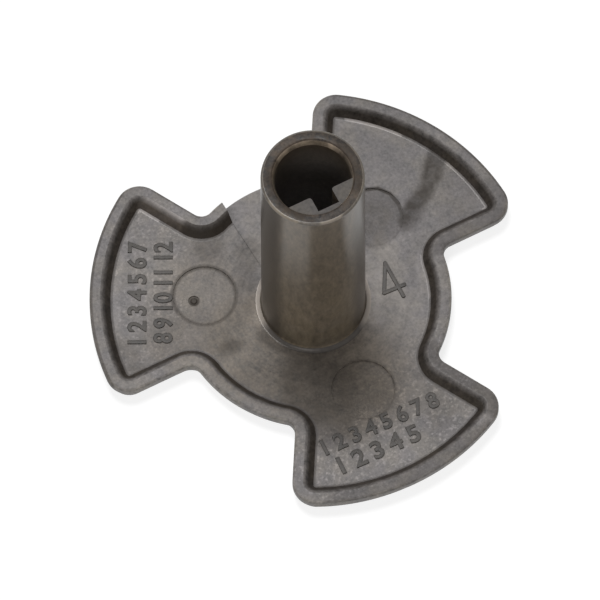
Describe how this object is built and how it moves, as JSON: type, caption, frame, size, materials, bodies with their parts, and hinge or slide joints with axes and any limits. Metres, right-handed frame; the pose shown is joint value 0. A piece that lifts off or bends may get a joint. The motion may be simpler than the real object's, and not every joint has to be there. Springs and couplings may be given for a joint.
{
  "type": "microwave turntable coupler",
  "caption": "Moulded plastic coupler: a shallow winged dish with a raised rim and a tall hollow boss whose D-shaped socket takes a motor shaft.",
  "frame": {"origin": "centre of the flat underside, on the boss axis", "axes": "+Z along the boss, out of the socket's mouth; one wing points along -Y; the gap in the rim faces +Y; +X completes the frame"},
  "size_m": [0.0558, 0.0517, 0.0388],
  "materials": {
    "coupler": "satin, finely mottled"
  },
  "bodies": {
    "root": {"coupler": "coupler"}
  },
  "joints": []
}
